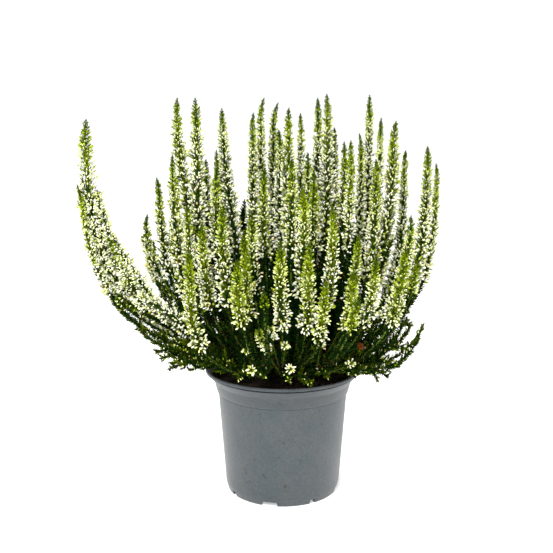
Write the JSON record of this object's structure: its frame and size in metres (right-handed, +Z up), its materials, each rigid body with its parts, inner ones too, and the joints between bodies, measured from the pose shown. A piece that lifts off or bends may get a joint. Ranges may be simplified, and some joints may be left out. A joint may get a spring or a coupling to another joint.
{
  "type": "potted heather",
  "caption": "Upright potted heather: slim spikes of small cream buds on leafy stems, fanning out of a plain grey plastic nursery pot.",
  "frame": {"origin": "on the pot's axis, in the plane that the pot stands on", "axes": "+Z up along the pot's axis, -Y towards the plant's front, +X to the right seen from the front"},
  "size_m": [0.2657, 0.2279, 0.305],
  "materials": {
    "pot_plastic": "matt mid-grey moulded plastic with faint mottling",
    "soil": "crumbly dark brown peat compost",
    "heather_spray": "cream-white closed buds on yellow-green stems with dark green needle leaves low down"
  },
  "bodies": {
    "root": {"pot": "pot_plastic", "soil": "soil", "spray_left_sweep": "heather_spray", "spray_left_outer": "heather_spray", "spray_left_tall": "heather_spray", "spray_left_tall_inner": "heather_spray", "spray_left_middle": "heather_spray", "spray_left_front": "heather_spray", "spray_left_centre": "heather_spray", "spray_left_bright": "heather_spray", "spray_centre_back": "heather_spray", "spray_centre_dark": "heather_spray", "spray_centre_high_back": "heather_spray", "spray_centre_high": "heather_spray", "spray_centre_main": "heather_spray", "spray_centre_bright": "heather_spray", "spray_right_high_back": "heather_spray", "spray_centre_low": "heather_spray", "spray_right_tallest": "heather_spray", "spray_right_pair": "heather_spray", "spray_right_low": "heather_spray", "spray_right_inner": "heather_spray", "spray_right_bright": "heather_spray", "spray_right_tall": "heather_spray", "spray_right_twin": "heather_spray", "spray_right_outer": "heather_spray", "spray_right_edge": "heather_spray", "spray_right_front": "heather_spray", "spray_right_front_low": "heather_spray", "spray_front_right": "heather_spray", "spray_front_middle": "heather_spray", "spray_front_centre": "heather_spray", "spray_centre_left_low": "heather_spray", "spray_front_left": "heather_spray", "spray_front_lowest": "heather_spray", "spray_back_left_high": "heather_spray", "spray_back_left_low": "heather_spray", "spray_back_left": "heather_spray", "spray_back_centre_high": "heather_spray", "spray_back_centre": "heather_spray", "spray_back_right": "heather_spray", "spray_back_right_high": "heather_spray", "spray_back_right_low": "heather_spray", "spray_back_right_outer": "heather_spray"}
  },
  "joints": []
}
